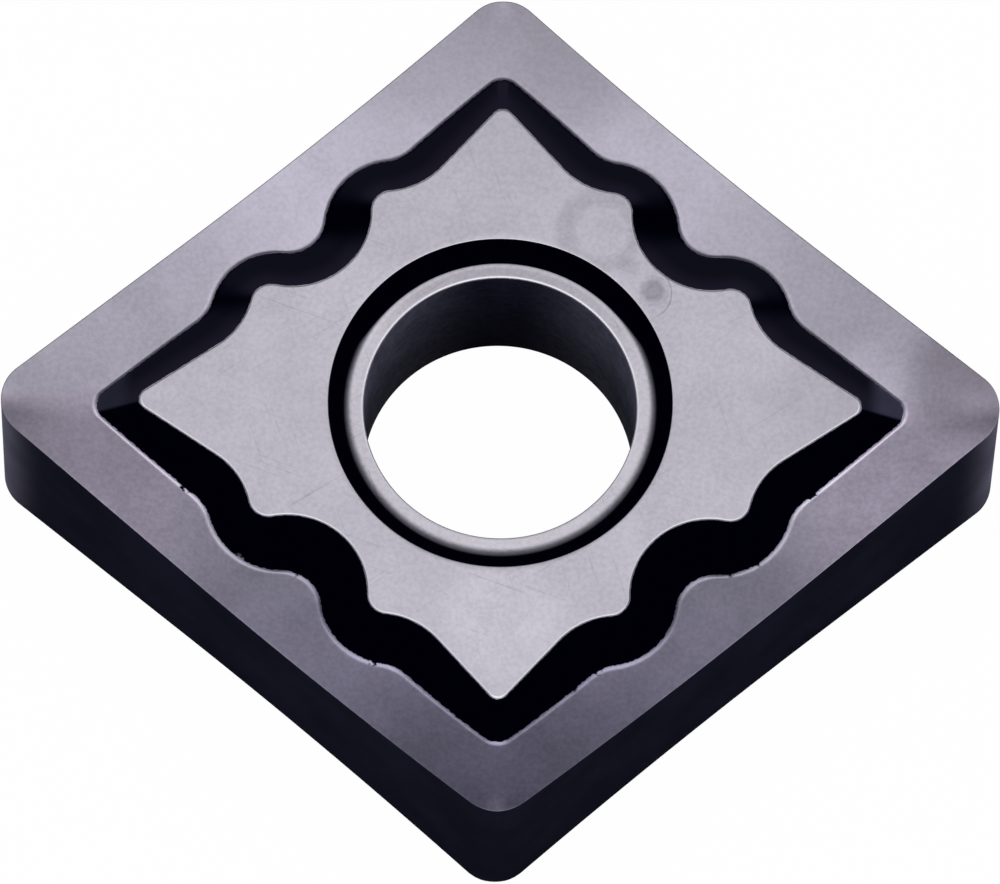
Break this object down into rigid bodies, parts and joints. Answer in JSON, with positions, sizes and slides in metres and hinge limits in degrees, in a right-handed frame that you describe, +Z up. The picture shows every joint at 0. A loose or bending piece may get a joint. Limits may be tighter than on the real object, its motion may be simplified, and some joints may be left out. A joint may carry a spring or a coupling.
{
  "type": "indexable turning insert",
  "caption": "Double-sided rhombic carbide turning insert with a wavy raised seat, a pressed chip breaker, dipping cutting edges and a clamping bore",
  "frame": {"origin": "on the axis of the clamping bore, in the plane of the lower seat", "axes": "+X runs along the long diagonal to an 80 degree cutting corner, +Y along the short diagonal to a 100 degree corner, +Z up along the bore"},
  "size_m": [0.0188, 0.016, 0.0048],
  "materials": {
    "coated_carbide": "dark satin coating over sintered carbide, seats ground brighter"
  },
  "bodies": {
    "root": {"insert_body": "coated_carbide"}
  },
  "joints": []
}
